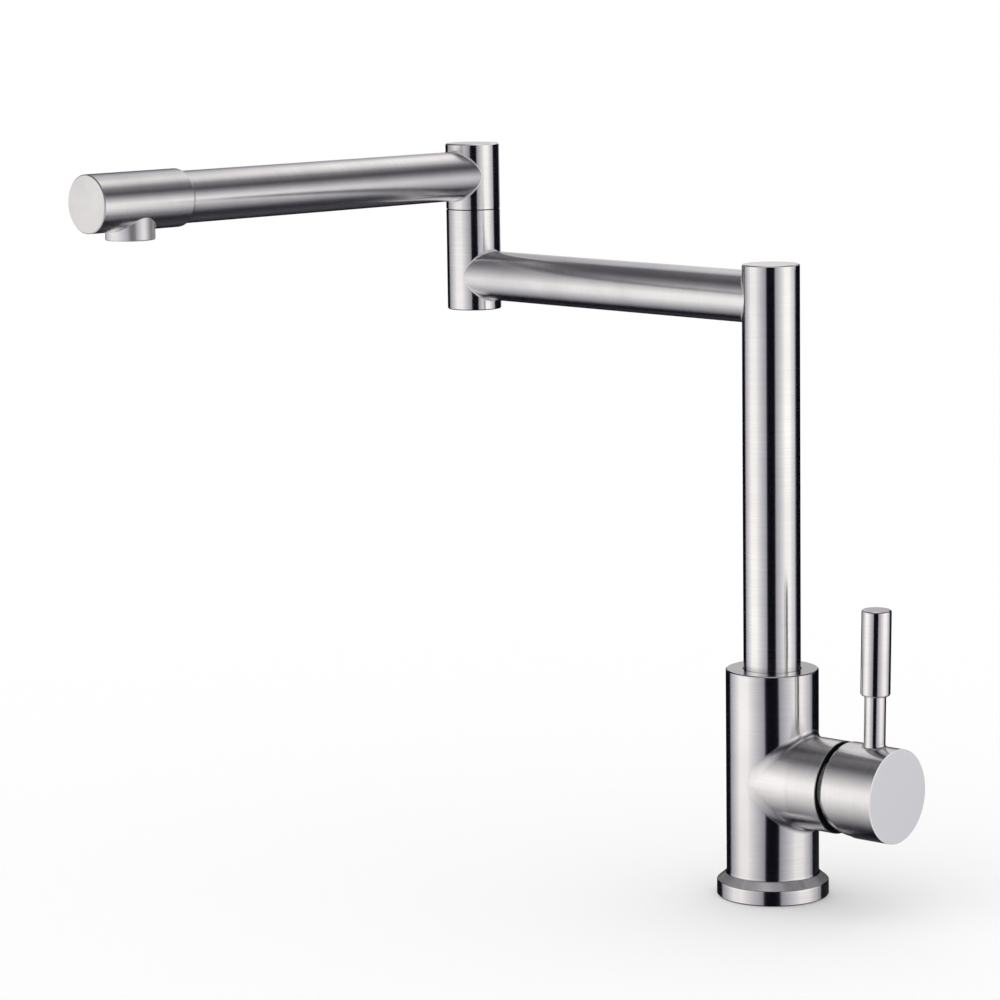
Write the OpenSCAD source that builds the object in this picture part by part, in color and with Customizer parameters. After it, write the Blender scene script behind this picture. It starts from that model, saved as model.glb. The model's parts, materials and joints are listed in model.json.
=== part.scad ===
// Articulated kitchen faucet: a swivelling riser, a folding two-stage arm and a side lever.
// Z is up, the origin is the centre of the foot on the deck, and X runs along the side branch.
// The arms stand as in the photograph, with the upper arm folded over towards the front.

/* [Body] */
// Outer diameter of the upright body
body_d = 45.4; // [44:0.2:50]
// Height of the body's flat top above the deck
body_h = 112.7; // [106:0.1:130]
// Diameter of the foot flange
flange_d = 55; // [53:0.5:62]
// Height of the flange's upright rim
flange_rim_h = 7.8; // [6:0.1:9]
// Steepness of the slope between the rim and the body wall, measured on its normal
flange_slope = 50; // [40:1:60]
// Radius of the rim's top corner
rim_round = 1; // [0.5:0.1:2]
// Radius of the fillet between the slope and the body wall
foot_fillet = 1.6; // [1:0.1:2.5]
// Bevel of the sharp outer edges
edge_bevel = 0.5; // [0.2:0.1:1]

/* [Branch] */
// Height of the branch axis above the deck
branch_z = 59; // [54:0.5:62]
// Outer diameter of the side branch
branch_d = 45.2; // [44:0.2:48]
// Wall of the branch at its open mouth
branch_wall = 1.3; // [1:0.1:2]
// Distance from the body axis to the branch's open end
branch_len = 42.8; // [40:0.2:50]
// Bevel round the branch's open end
branch_bevel = 0.8; // [0.4:0.1:1]

/* [Waterways] */
// Diameter of the tapped hole for the clamping stud, size M8
stud_hole_d = 6.8; // [6:0.1:8]
// Diameter of the tapped holes for the supply hoses, size M10 fine
inlet_hole_d = 9; // [8:0.1:9.6]
// Depth of the tapped holes in the foot
tapped_depth = 14; // [10:0.5:20]
// Distance from the body axis to each supply hole
inlet_spread = 10; // [9.4:0.1:12]
// Diameter of the upright supply ways
supply_way_d = 7; // [5:0.5:8]
// Diameter of the upright outlet way under the riser
outlet_way_d = 10; // [7:0.5:14]

/* [Riser joint] */
// Depth of the riser's socket in the body
socket_depth = 32; // [28:1:40]
// Depth that the riser tube sinks below the body's top
riser_sink = 6.5; // [4:0.5:8]
// Width of the open ring round the riser at the body's top
riser_mouth_gap = 0.4; // [0.3:0.1:0.8]
// Step from the riser's outside to the spigot's outside
spigot_step = 1; // [0.8:0.1:1.2]
// Diameter of the waterway through the riser spigot
spigot_bore_d = 16; // [10:0.5:18]
// Thickness of the slip washer under the riser tube
riser_washer_h = 0.5; // [0.4:0.1:1]
// Diameter of the lock screw that keeps the riser down
lock_screw_d = 5; // [4:0.5:6]

/* [Riser] */
// Outer diameter of the riser
riser_d = 28; // [27:0.5:31]
// Wall of the riser tube
riser_wall = 1.5; // [1.2:0.1:2]
// Height of the riser's flat top above the deck
riser_top = 310.4; // [260:0.1:360]
// Thickness of the end caps on the riser and the elbow
cap_h = 2.5; // [1.5:0.1:3.5]

/* [Arms] */
// Outer diameter of both arm tubes
arm_d = 25.4; // [24:0.2:26]
// Wall of both arm tubes
arm_wall = 1.5; // [1:0.1:2]
// Cover of the lower arm below the riser's top
arm_top_gap = 3.9; // [3:0.1:12]
// Length of the lower arm from the riser axis to the elbow axis
lower_arm_len = 211.5; // [120:0.5:260]
// Compass turn of the lower arm at rest, from the branch side
lower_arm_turn = 174.3; // [100:0.1:260]
// Length of the upper arm from the elbow axis to the head's flat face
upper_arm_len = 255.5; // [160:0.5:300]
// Compass turn of the upper arm at rest
upper_arm_turn = -93.7; // [-179:0.1:179]

/* [Elbow] */
// Outer diameter of the elbow housings
elbow_d = 28; // [27:0.5:31]
// Wall of the elbow housings
elbow_wall = 1.8; // [1.2:0.1:2.2]
// Cover of the elbow below the lower arm
elbow_foot_gap = 5.2; // [4:0.1:12]
// Height of the swivel bearing between the lower arm and the seam
elbow_neck = 21.3; // [19:0.1:30]
// Cover of the elbow between the seam and the upper arm
elbow_collar_gap = 4.4; // [3:0.1:8]
// Cover of the elbow above the upper arm
elbow_head_gap = 3.9; // [3.5:0.1:10]
// Thickness of the slip washer that shows as a dark seam
elbow_washer_h = 0.5; // [0.4:0.1:1]
// Diameter of the elbow's swivel spigot
pivot_d = 18; // [16:0.2:19]
// Diameter of the waterway through the swivel spigot
pivot_bore_d = 11; // [8:0.2:12]

/* [Spout head] */
// Outer diameter of the head sleeve
head_d = 28.3; // [28:0.1:31]
// Length of the head sleeve with its end cap
head_len = 56; // [52:0.5:70]
// Thickness of the head's end cap
head_cap_h = 3; // [2:0.1:5]
// Rounding of the sleeve's rear edge
head_rear_round = 1.3; // [0.8:0.1:1.4]
// Distance from the head's flat face to the nozzle axis
nozzle_back = 26.1; // [20:0.1:32]
// Outer diameter of the nozzle collar
nozzle_d = 24; // [22:0.2:25]
// Wall of the nozzle collar
nozzle_wall = 1.8; // [1.4:0.1:2.4]
// Height that the nozzle shows below the head
nozzle_drop = 4.3; // [3:0.1:9]
// Diameter of one cell of the aerator screen
screen_cell_d = 1.7; // [1.4:0.1:1.9]

/* [Cartridge] */
// Outer diameter of the cartridge's base
cartridge_d = 35; // [32:0.5:38]
// Outer diameter of the cartridge's neck
cartridge_neck_d = 28; // [27:0.2:28.6]
// Wall of the cartridge's neck
cartridge_wall = 1.1; // [0.8:0.1:1.4]
// Depth of the cartridge's seat below the branch's open end
seat_depth = 11.8; // [11:0.1:14]
// Thickness of the cartridge's base plate
base_h = 2.2; // [2:0.1:3]
// Thickness of the fixed ceramic disc
fixed_disc_h = 3.4; // [3:0.1:4]
// Thickness of the moving ceramic disc
moving_disc_h = 2.6; // [2.2:0.1:3]
// Height of the disc carrier
carrier_h = 5.6; // [5:0.1:6]
// Diameter of the ports in the discs and the seat
port_d = 5.6; // [4:0.2:6]
// Distance of the two supply ports from the cartridge's middle plane
port_spread = 6.6; // [6:0.1:7]
// Height of the retaining nut
nut_h = 3; // [2.5:0.1:4]
// Height of the black trim ring
trim_h = 1.2; // [0.8:0.1:1.8]
// Distance from the branch's open end to the tilt pivot
pivot_out = 12.8; // [12:0.1:14]
// Distance from the tilt pivot to the ball that drives the carrier
ball_reach = 12.6; // [12:0.1:13]
// Largest tilt of the lever, from shut to full flow
tilt_max = 20; // [10:1:20]

/* [Knob and lever] */
// Outer diameter of the knob
knob_d = 46; // [45:0.2:48]
// Length of the knob
knob_len = 30; // [29:0.5:36]
// Gap between the branch and the knob
knob_gap = 2.2; // [1.8:0.1:3]
// Wall of the knob round its cavity
knob_wall = 3.5; // [3:0.1:4]
// Rounding of the knob's rear edge
knob_rear_round = 1.8; // [1:0.1:2.2]
// Radius of the ball-shaped relief at the knob's lower rear
relief_r = 25; // [24.6:0.1:26]
// Height of the relief's centre above the knob axis
relief_rise = 2.5; // [1.5:0.1:3]
// Distance from the knob's face to the lever's axis
lever_back = 14.1; // [12:0.1:16]
// Outward lean of the lever
lever_lean = 1; // [0:0.5:4]
// Diameter of the lever's stem
stem_d = 10.4; // [8:0.2:12]
// Length of the stem that shows between the knob and the grip
stem_len = 24.8; // [15:0.2:40]
// Diameter of the lever's grip
grip_d = 14.4; // [13:0.2:20]
// Length of the lever's grip
grip_len = 41.8; // [30:0.2:80]
// Rounding of the grip's end edges
grip_round = 1.2; // [0.4:0.1:1.6]
// Width of the square spindle
spindle_w = 8; // [7:0.1:8.4]
// Diameter of the screw that holds the knob on the spindle
grub_d = 5; // [4:0.5:6]

/* [Fits] */
// Radial clearance of a turning fit
run_gap = 0.05; // [0.02:0.01:0.08]
// Radial clearance of a pressed or threaded fit
seat_gap = 0.03; // [0.01:0.01:0.06]
// Clearance between flat faces that slide on each other
slip_gap = 0.02; // [0.01:0.01:0.05]
// Clearance between loose neighbours
free_gap = 0.3; // [0.2:0.05:0.5]

/* [Hidden] */
$fn = 72;
over = 1;

// Radii of the outer pieces
body_r = body_d / 2;
flange_r = flange_d / 2;
branch_r = branch_d / 2;
riser_r = riser_d / 2;
arm_r = arm_d / 2;
elbow_r = elbow_d / 2;
head_r = head_d / 2;
nozzle_r = nozzle_d / 2;
knob_r = knob_d / 2;

// Heights up the riser and the elbow
lower_arm_z = riser_top - arm_top_gap - arm_r;
elbow_bottom = lower_arm_z - arm_r - elbow_foot_gap;
elbow_seam = lower_arm_z + arm_r + elbow_neck;
elbow_upper_z = elbow_seam + elbow_washer_h + slip_gap;
upper_arm_z = elbow_upper_z + elbow_collar_gap + arm_r;
elbow_top = upper_arm_z + arm_r + elbow_head_gap;
elbow_x = lower_arm_len * cos(lower_arm_turn);
elbow_y = lower_arm_len * sin(lower_arm_turn);
arm_hole_r = arm_r - arm_wall - 2;

// Riser joint
socket_z = body_h - socket_depth;
riser_foot_z = body_h - riser_sink;
socket_r = riser_r + riser_mouth_gap;
spigot_r = riser_r - spigot_step;
bush_bore_r = spigot_r + run_gap;
bush_top_z = riser_foot_z - slip_gap - riser_washer_h;
seal_d = 2.6;
seal_groove_w = seal_d + 0.4;
spigot_foot_z = socket_z + over;
spigot_plug_h = 12;
lock_z = (spigot_foot_z + bush_top_z) / 2;
lock_groove_w = 4;
lock_groove_depth = 1.6;
lock_tip_r = 1.5;
riser_seal_z = [lock_z - 7, lock_z + 7];

// Elbow joint
elbow_bore_r = elbow_r - elbow_wall;
pivot_r = pivot_d / 2;
bearing_foot_z = lower_arm_z + arm_r + 0.9;
clip_h = 1.2;
clip_top_z = bearing_foot_z - free_gap;
pivot_foot_z = clip_top_z - clip_h - 1.1;
clip_groove_r = pivot_r - 1;
clip_r = pivot_r + 1.6;
pivot_plug_h = elbow_collar_gap;
elbow_seal_d = 2.2;
bearing_mid_z = (bearing_foot_z + elbow_seam) / 2;
elbow_seal_z = [bearing_mid_z - 4.5, bearing_mid_z + 4.5];

// Spout head, measured along the upper arm from the elbow axis
head_rear = upper_arm_len - head_len;
head_cap_at = upper_arm_len - head_cap_h;
sleeve_bore_r = arm_r + seat_gap;
nozzle_at = upper_arm_len - nozzle_back;
nozzle_bore_r = nozzle_r - nozzle_wall;
arm_end_at = nozzle_at - nozzle_bore_r - 3;
nozzle_z = upper_arm_z - head_r - nozzle_drop;
aerator_recess = 0.6;
aerator_lip = 0.4;
aerator_h = 4;
aerator_wall = 1.6;
aerator_bore_r = nozzle_bore_r - seat_gap - aerator_wall;
screen_h = 1.2;
screen_rings = 4;
screen_pitch = 2.1;
gasket_h = 1.6;

// Cartridge, measured along X from the body axis
branch_joint_x = body_r + 1.3;
seat_x = branch_len - seat_depth;
mouth_r = branch_r - branch_wall;
seal_squeeze = 0.2;
port_seal_h = 1.2;
port_seal_r = port_d / 2 + 1.4;
base_x = seat_x + seal_squeeze;
shoulder_x = base_x + base_h;
moving_x = shoulder_x + fixed_disc_h + slip_gap;
carrier_x = moving_x + moving_disc_h;
carrier_top_x = carrier_x + carrier_h;
pivot_x = branch_len + pivot_out;
ball_x = pivot_x - ball_reach;
ball_r = 2.8;
ball_pocket_r = ball_r + free_gap + 0.1;
spindle_neck_r = 1.8;
spindle_half = spindle_w / 2;
spindle_tail = 4;
pin_r = 1.5;
rotor_x = carrier_top_x + 0.4;
rotor_top_x = pivot_x + 2.5;
slot_half = 7.2;
neck_r = cartridge_neck_d / 2;
neck_bore_r = neck_r - cartridge_wall;
neck_lid_h = 0.8;
neck_end_x = rotor_top_x + 0.1 + neck_lid_h;
neck_mouth_r = 9.5;
rotor_r = neck_bore_r - run_gap;
disc_travel = ball_reach * tilt_max * PI / 180;
disc_r = neck_bore_r - disc_travel / 2 - free_gap;
chamber_r = 7;
ports = [[port_spread, -4.6], [-port_spread, -4.6], [0, 7.8]];

// Knob and lever
knob_rear_x = branch_len + knob_gap;
knob_face_x = knob_rear_x + knob_len;
cavity_r = knob_r - knob_wall;
neck_swing = (neck_end_x - pivot_x) * cos(tilt_max) + neck_r * sin(tilt_max);
cavity_end_x = pivot_x + neck_swing + 0.5;
lever_x = knob_face_x - lever_back;
spindle_end_x = knob_face_x - 2.4;
grub_x = (cavity_end_x + knob_face_x) / 2;
stem_foot = cavity_r - 1;
grip_foot = knob_r + stem_len;
grip_socket = 10;
plug_r = grub_d / 2 + 0.6;
plug_h = 2.4;

// Foot gasket
gasket_out_r = flange_r - 2.5;
gasket_in_r = gasket_out_r - 3;
gasket_depth = 2;

steel = [0.78, 0.77, 0.77];
steel_dark = [0.62, 0.62, 0.63];
brass = [0.80, 0.66, 0.36];
rubber = [0.09, 0.09, 0.10];
black_plastic = [0.06, 0.06, 0.07];
white_plastic = [0.90, 0.90, 0.88];
ceramic = [0.95, 0.94, 0.90];
ptfe_black = [0.12, 0.12, 0.13];

// Points of an arc in the profile plane
function arc(cx, cy, r, from, to, steps) =
    [for (i = [0:steps]) let (a = from + (to - from) * i / steps) [cx + r * cos(a), cy + r * sin(a)]];

// A plain upright tube
module tube(h, out_r, in_r) {
    difference() {
        cylinder(h = h, r = out_r);
        translate([0, 0, -over]) cylinder(h = h + 2 * over, r = in_r);
    }
}

// An upright cylinder with bevelled ends
module bevelled(h, r, foot, top) {
    rotate_extrude()
        polygon([[0, 0], [r - foot, 0], [r, foot], [r, h - top], [r - top, h], [0, h]]);
}

// A rod along X at the branch's height
module rod_x(from, to, r, y = 0, rise = 0) {
    translate([from, y, branch_z + rise]) rotate([0, 90, 0]) cylinder(h = to - from, r = r);
}

// A ring along X at the branch's height
module ring_x(from, to, out_r, in_r) {
    difference() {
        rod_x(from, to, out_r);
        rod_x(from - over, to + over, in_r);
    }
}

// Turns children that are drawn along Z to lie along a compass direction
module lie(turn, z) {
    translate([0, 0, z]) rotate([0, 90, turn]) children();
}

// Moves children to the elbow axis
module at_elbow() {
    translate([elbow_x, elbow_y, 0]) children();
}

// Children drawn along the upper arm from the elbow axis
module on_upper_arm() {
    at_elbow() lie(upper_arm_turn, upper_arm_z) children();
}

// Moves upright children to the nozzle axis
module at_nozzle() {
    at_elbow() rotate([0, 0, upper_arm_turn]) translate([nozzle_at, 0, nozzle_z]) children();
}

// Children drawn up the lever's leaning axis from the knob axis
module on_lever() {
    translate([lever_x, 0, branch_z]) rotate([0, lever_lean, 0]) children();
}

// A rubber ring whose outer edge lies at out_r
module seal_ring(out_r, cord_d) {
    rotate_extrude() translate([out_r - cord_d / 2, 0]) circle(d = cord_d, $fn = 24);
}

// Turned outline of the foot and the upright body
function body_outline() =
    let (rim = [flange_r - rim_round, flange_rim_h - rim_round],
         fillet_x = body_r + foot_fillet,
         drop = (rim_round + foot_fillet - (fillet_x - rim[0]) * cos(flange_slope)) / sin(flange_slope))
    concat(
        [[0, 0], [flange_r - edge_bevel, 0], [flange_r, edge_bevel]],
        arc(rim[0], rim[1], rim_round, 0, flange_slope, 5),
        arc(fillet_x, rim[1] + drop, foot_fillet, 180 + flange_slope, 180, 5),
        [[body_r, body_h - edge_bevel], [body_r - edge_bevel, body_h], [0, body_h]]);

// Level ways that run from the body to the cartridge's seat
module port_ways() {
    for (port = ports) rod_x(0, seat_x + over, port_d / 2, port[0], port[1]);
}

// Tapped holes and upright ways drilled in the body
module upright_ways() {
    translate([0, 0, -over]) cylinder(h = tapped_depth + over, d = stud_hole_d);
    for (side = [-1, 1]) {
        translate([0, side * inlet_spread, -over]) cylinder(h = tapped_depth + over, d = inlet_hole_d);
        translate([0, side * inlet_spread, 0]) cylinder(h = branch_z + ports[0][1], d = supply_way_d);
    }
    translate([0, 0, branch_z + ports[2][1]])
        cylinder(h = socket_z - branch_z - ports[2][1] + over, d = outlet_way_d);
}

module mixer_body() {
    color(steel) difference() {
        union() {
            rotate_extrude() polygon(body_outline());
            rod_x(0, branch_joint_x, branch_r);
        }
        translate([0, 0, socket_z]) cylinder(h = socket_depth + over, r = socket_r);
        upright_ways();
        port_ways();
        translate([0, 0, lock_z]) rotate([-90, 0, 0])
            cylinder(h = body_r + over, r = lock_screw_d / 2 + seat_gap);
        translate([0, 0, -over]) tube(gasket_depth + over, gasket_out_r, gasket_in_r);
    }
}

module side_branch() {
    color(steel) difference() {
        translate([branch_joint_x, 0, branch_z]) rotate([0, 90, 0])
            bevelled(branch_len - branch_joint_x, branch_r, 0, branch_bevel);
        rod_x(seat_x, branch_len + over, cartridge_d / 2 + seat_gap);
        rod_x(shoulder_x, branch_len + over, mouth_r);
        port_ways();
    }
}

module base_gasket() {
    color(rubber) tube(gasket_depth, gasket_out_r - seat_gap, gasket_in_r + seat_gap);
}

module riser_bush() {
    color(white_plastic) translate([0, 0, socket_z]) difference() {
        tube(bush_top_z - socket_z, socket_r - seat_gap, bush_bore_r);
        translate([0, 0, lock_z - socket_z]) rotate([-90, 0, 0])
            cylinder(h = socket_r + over, r = lock_tip_r + seat_gap);
    }
}

module riser_washer() {
    color(ptfe_black) translate([0, 0, bush_top_z])
        tube(riser_washer_h, socket_r - seat_gap, spigot_r + run_gap);
}

module riser_lock_screw() {
    tip_y = spigot_r - lock_groove_depth + 0.4;
    head_y = body_r - 1.4;
    color(steel_dark) translate([0, 0, lock_z]) rotate([-90, 0, 0]) difference() {
        union() {
            translate([0, 0, tip_y]) cylinder(h = socket_r - tip_y + 0.2, r = lock_tip_r);
            translate([0, 0, socket_r + 0.1]) cylinder(h = head_y - socket_r - 0.1, d = lock_screw_d);
        }
        translate([0, 0, head_y - 2.2]) cylinder(h = 2.2 + over, d = lock_screw_d * 0.55, $fn = 6);
    }
}

module cartridge_base() {
    color(white_plastic) difference() {
        rod_x(base_x, shoulder_x, cartridge_d / 2);
        for (port = ports) {
            rod_x(base_x - over, shoulder_x + over, port_d / 2, port[0], port[1]);
            rod_x(base_x - over, seat_x + port_seal_h, port_seal_r + seat_gap, port[0], port[1]);
        }
    }
}

module port_seals() {
    color(rubber) for (port = ports) difference() {
        rod_x(seat_x, seat_x + port_seal_h, port_seal_r, port[0], port[1]);
        rod_x(seat_x - over, seat_x + port_seal_h + over, port_d / 2 + 0.2, port[0], port[1]);
    }
}

module fixed_disc() {
    color(ceramic) difference() {
        rod_x(shoulder_x, shoulder_x + fixed_disc_h, neck_bore_r - seat_gap);
        for (port = ports)
            rod_x(shoulder_x - over, shoulder_x + fixed_disc_h + over, port_d / 2, port[0], port[1]);
    }
}

module cartridge_housing() {
    color(white_plastic) difference() {
        rod_x(shoulder_x, neck_end_x, neck_r);
        rod_x(shoulder_x - over, neck_end_x - neck_lid_h, neck_bore_r);
        rod_x(neck_end_x - 2 * over, neck_end_x + over, neck_mouth_r);
    }
}

module retaining_nut() {
    notch_w = 4;
    color(brass) difference() {
        ring_x(shoulder_x, shoulder_x + nut_h, mouth_r - seat_gap, neck_r + seat_gap);
        for (a = [0:60:300])
            translate([shoulder_x + nut_h - 1.2, 0, branch_z]) rotate([a, 0, 0])
                translate([0, mouth_r - 4.5, -notch_w / 2]) cube([2, 2.5, notch_w]);
    }
}

module trim_ring() {
    color(black_plastic)
        ring_x(shoulder_x + nut_h, shoulder_x + nut_h + trim_h, mouth_r - seat_gap, neck_r + seat_gap);
}

module riser_tube() {
    color(steel) translate([0, 0, riser_foot_z]) difference() {
        tube(riser_top - cap_h - riser_foot_z, riser_r, riser_r - riser_wall);
        translate([0, 0, -riser_foot_z]) lie(lower_arm_turn, lower_arm_z)
            cylinder(h = riser_r + over, r = arm_hole_r);
    }
}

module riser_cap() {
    color(steel) translate([0, 0, riser_top - cap_h]) bevelled(cap_h, riser_r, 0, edge_bevel);
}

module riser_spigot() {
    color(brass) difference() {
        union() {
            translate([0, 0, spigot_foot_z])
                bevelled(riser_foot_z - spigot_foot_z, spigot_r, edge_bevel, 0);
            translate([0, 0, riser_foot_z - over])
                cylinder(h = spigot_plug_h + over, r = riser_r - riser_wall - seat_gap);
        }
        translate([0, 0, spigot_foot_z - over])
            cylinder(h = riser_foot_z + spigot_plug_h - spigot_foot_z + 2 * over, d = spigot_bore_d);
        for (z = riser_seal_z)
            translate([0, 0, z - seal_groove_w / 2])
                tube(seal_groove_w, spigot_r + over, spigot_r - seal_d - seat_gap);
        translate([0, 0, lock_z - lock_groove_w / 2])
            tube(lock_groove_w, spigot_r + over, spigot_r - lock_groove_depth);
    }
}

module riser_o_rings() {
    color(rubber) for (z = riser_seal_z) translate([0, 0, z]) seal_ring(spigot_r, seal_d);
}

module lower_arm() {
    color(steel) difference() {
        lie(lower_arm_turn, lower_arm_z) tube(lower_arm_len, arm_r, arm_r - arm_wall);
        cylinder(h = riser_top + over, r = riser_r + seat_gap);
        at_elbow() cylinder(h = elbow_top, r = elbow_r + seat_gap);
    }
}

module elbow_lower_housing() {
    color(steel) difference() {
        at_elbow() translate([0, 0, elbow_bottom + cap_h])
            tube(elbow_seam - elbow_bottom - cap_h, elbow_r, elbow_bore_r);
        lie(lower_arm_turn, lower_arm_z) cylinder(h = lower_arm_len, r = arm_hole_r);
    }
}

module elbow_bottom_cap() {
    color(steel) at_elbow() translate([0, 0, elbow_bottom]) bevelled(cap_h, elbow_r, edge_bevel, 0);
}

module elbow_bearing() {
    color(brass) at_elbow() translate([0, 0, bearing_foot_z])
        tube(elbow_seam - bearing_foot_z, elbow_bore_r - seat_gap, pivot_r + run_gap);
}

module elbow_washer() {
    color(ptfe_black) at_elbow() translate([0, 0, elbow_seam])
        tube(elbow_washer_h, elbow_r - edge_bevel, pivot_r + run_gap);
}

module elbow_upper_housing() {
    color(steel) difference() {
        at_elbow() translate([0, 0, elbow_upper_z])
            tube(elbow_top - cap_h - elbow_upper_z, elbow_r, elbow_bore_r);
        on_upper_arm() cylinder(h = elbow_r + over, r = arm_hole_r);
    }
}

module elbow_top_cap() {
    color(steel) at_elbow() translate([0, 0, elbow_top - cap_h]) bevelled(cap_h, elbow_r, 0, edge_bevel);
}

module elbow_spigot() {
    color(brass) at_elbow() difference() {
        union() {
            translate([0, 0, pivot_foot_z])
                bevelled(elbow_upper_z - pivot_foot_z + over, pivot_r, edge_bevel, 0);
            translate([0, 0, elbow_upper_z]) cylinder(h = pivot_plug_h, r = elbow_bore_r - seat_gap);
        }
        translate([0, 0, pivot_foot_z - over]) cylinder(h = elbow_top, d = pivot_bore_d);
        for (z = elbow_seal_z)
            translate([0, 0, z - elbow_seal_d / 2 - 0.2])
                tube(elbow_seal_d + 0.4, pivot_r + over, pivot_r - elbow_seal_d - seat_gap);
        translate([0, 0, clip_top_z - clip_h - seat_gap])
            tube(clip_h + 2 * seat_gap, pivot_r + over, clip_groove_r);
    }
}

module elbow_o_rings() {
    color(rubber) at_elbow() for (z = elbow_seal_z) translate([0, 0, z]) seal_ring(pivot_r, elbow_seal_d);
}

module elbow_clip() {
    color(steel_dark) at_elbow() translate([0, 0, clip_top_z - clip_h]) difference() {
        tube(clip_h, clip_r, clip_groove_r + seat_gap);
        translate([0, -1.5, -over]) cube([clip_r + over, 3, clip_h + 2 * over]);
    }
}

module upper_arm() {
    color(steel) difference() {
        on_upper_arm() tube(arm_end_at, arm_r, arm_r - arm_wall);
        at_elbow() cylinder(h = elbow_top + over, r = elbow_r + seat_gap);
    }
}

module head_sleeve() {
    h = head_cap_at - head_rear;
    color(steel) difference() {
        on_upper_arm() translate([0, 0, head_rear]) rotate_extrude()
            polygon(concat(
                arc(head_r - head_rear_round, head_rear_round, head_rear_round, -80, 0, 6),
                [[head_r, h], [sleeve_bore_r, h], [sleeve_bore_r, 0]]));
        at_nozzle() cylinder(h = head_r + nozzle_drop, r = nozzle_bore_r);
    }
}

module head_cap() {
    color(steel) on_upper_arm() translate([0, 0, head_cap_at])
        bevelled(head_cap_h, head_r, 0, edge_bevel);
}

module nozzle_collar() {
    color(steel) difference() {
        at_nozzle() rotate_extrude()
            polygon([[nozzle_bore_r, 0], [nozzle_r - edge_bevel, 0], [nozzle_r, edge_bevel],
                     [nozzle_r, head_r + nozzle_drop], [nozzle_bore_r, head_r + nozzle_drop]]);
        on_upper_arm() translate([0, 0, head_rear]) cylinder(h = head_len, r = head_r + seat_gap);
    }
}

module aerator_housing() {
    color(steel_dark) at_nozzle() translate([0, 0, aerator_recess]) difference() {
        cylinder(h = aerator_h, r = nozzle_bore_r - seat_gap);
        translate([0, 0, aerator_lip]) cylinder(h = aerator_h, r = aerator_bore_r);
        translate([0, 0, -over]) cylinder(h = aerator_h, r = aerator_bore_r - 0.5);
    }
}

// Places of the screen's cells, in six-sided rings round the middle
function screen_cells() =
    [for (i = [-screen_rings:screen_rings], j = [-screen_rings:screen_rings])
        let (x = screen_pitch * (i + j / 2), y = screen_pitch * j * sin(60))
        if (norm([x, y]) < aerator_bore_r - 0.6 - screen_cell_d / 2) [x, y]];

module aerator_screen() {
    color(white_plastic) at_nozzle() translate([0, 0, aerator_recess + aerator_lip]) difference() {
        cylinder(h = screen_h, r = aerator_bore_r - seat_gap);
        for (c = screen_cells())
            translate([c[0], c[1], -over]) cylinder(h = screen_h + 2 * over, d = screen_cell_d, $fn = 6);
    }
}

module aerator_gasket() {
    color(rubber) at_nozzle() translate([0, 0, aerator_recess + aerator_h])
        tube(gasket_h, nozzle_bore_r - seat_gap, aerator_bore_r - 1);
}

module cartridge_rotor() {
    slot_w = spindle_w + 2 * run_gap;
    color(black_plastic) difference() {
        rod_x(rotor_x, rotor_top_x, rotor_r);
        translate([rotor_x - over, -slot_w / 2, branch_z - slot_half])
            cube([rotor_top_x - rotor_x + 2 * over, slot_w, 2 * slot_half]);
        translate([pivot_x, 0, branch_z]) rotate([90, 0, 0])
            cylinder(h = 2 * rotor_r + over, r = pin_r + seat_gap, center = true);
    }
}

module pivot_pin() {
    color(steel_dark) translate([pivot_x, 0, branch_z]) rotate([90, 0, 0])
        cylinder(h = 2 * rotor_r - 1, r = pin_r, center = true);
}

module moving_disc() {
    color(ceramic) difference() {
        rod_x(moving_x, carrier_x, disc_r, 0, -disc_travel / 2);
        rod_x(moving_x - over, moving_x + moving_disc_h * 0.6, chamber_r, 0, -disc_travel / 2);
    }
}

module disc_carrier() {
    color(white_plastic) difference() {
        rod_x(carrier_x, carrier_top_x, disc_r, 0, -disc_travel / 2);
        rod_x(ball_x - ball_r - free_gap, carrier_top_x + over, ball_pocket_r);
    }
}

module spindle() {
    color(steel_dark) difference() {
        union() {
            translate([pivot_x - spindle_tail, -spindle_half, branch_z - spindle_half])
                cube([spindle_end_x - pivot_x + spindle_tail, spindle_w, spindle_w]);
            rod_x(ball_x, pivot_x - spindle_tail + 0.5, spindle_neck_r);
            translate([ball_x, 0, branch_z]) sphere(r = ball_r);
        }
        translate([pivot_x, 0, branch_z]) rotate([90, 0, 0])
            cylinder(h = 2 * spindle_w, r = pin_r + run_gap, center = true);
    }
}

// What the ball-shaped relief takes off the knob's rear
module relief_cut() {
    difference() {
        rod_x(knob_rear_x - over, pivot_x, knob_r + over);
        translate([pivot_x, 0, branch_z + relief_rise]) sphere(r = relief_r);
    }
}

module knob() {
    socket_w = spindle_w + 2 * seat_gap;
    color(steel) difference() {
        translate([knob_rear_x, 0, branch_z]) rotate([0, 90, 0]) rotate_extrude()
            polygon(concat(
                [[0, 0]],
                arc(knob_r - knob_rear_round, knob_rear_round, knob_rear_round, -90, 0, 6),
                [[knob_r, knob_len - edge_bevel], [knob_r - edge_bevel, knob_len], [0, knob_len]]));
        relief_cut();
        rod_x(knob_rear_x - over, cavity_end_x, cavity_r);
        translate([cavity_end_x - over, -socket_w / 2, branch_z - socket_w / 2])
            cube([spindle_end_x + seat_gap - cavity_end_x + over, socket_w, socket_w]);
        on_lever() translate([0, 0, stem_foot]) cylinder(h = knob_r, r = stem_d / 2 + seat_gap);
        translate([grub_x, 0, branch_z]) rotate([180, 0, 0])
            cylinder(h = knob_r + over, r = grub_d / 2 + seat_gap);
        translate([grub_x, 0, branch_z]) rotate([180, 0, 0])
            translate([0, 0, knob_r - plug_h - 0.3]) cylinder(h = plug_h + over, r = plug_r + seat_gap);
    }
}

module lever_stem() {
    color(steel) on_lever() translate([0, 0, stem_foot])
        cylinder(h = grip_foot + grip_socket - stem_foot, d = stem_d);
}

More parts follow.
